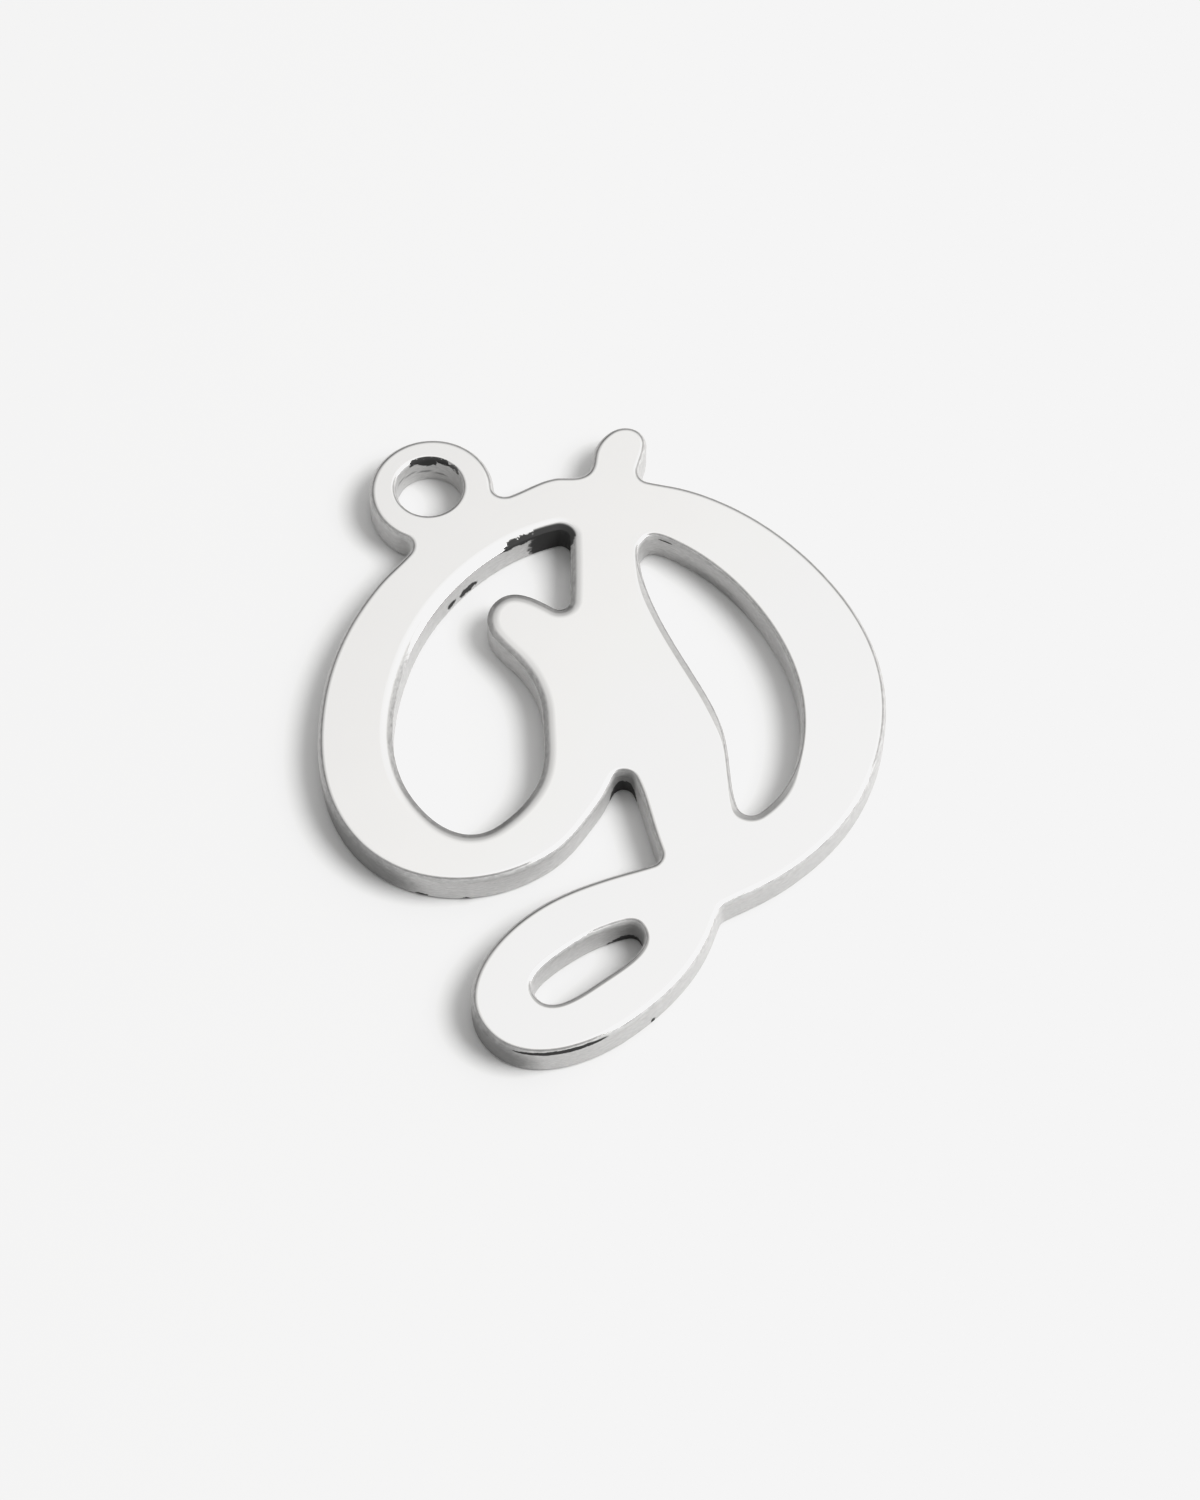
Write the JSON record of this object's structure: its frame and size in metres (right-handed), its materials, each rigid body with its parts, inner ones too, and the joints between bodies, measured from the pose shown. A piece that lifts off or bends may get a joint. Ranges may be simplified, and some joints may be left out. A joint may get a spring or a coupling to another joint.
{
  "type": "initial pendant",
  "caption": "Flat script-letter initial pendant of polished sheet metal, cut in one piece with its round eyelet for a jump ring.",
  "frame": {"origin": "axis of the eyelet's hole, on the back face, which is the face that the pendant lies on", "axes": "+X across the letter to its right, +Y up the letter towards the eyelet's top, +Z out of the polished front face"},
  "size_m": [0.017, 0.0197, 0.0011],
  "materials": {
    "letter_plate": "polished and tumbled, with fine scratches, drawn marks on the cut walls and small dark stains"
  },
  "bodies": {
    "root": {"letter_plate": "letter_plate"}
  },
  "joints": []
}
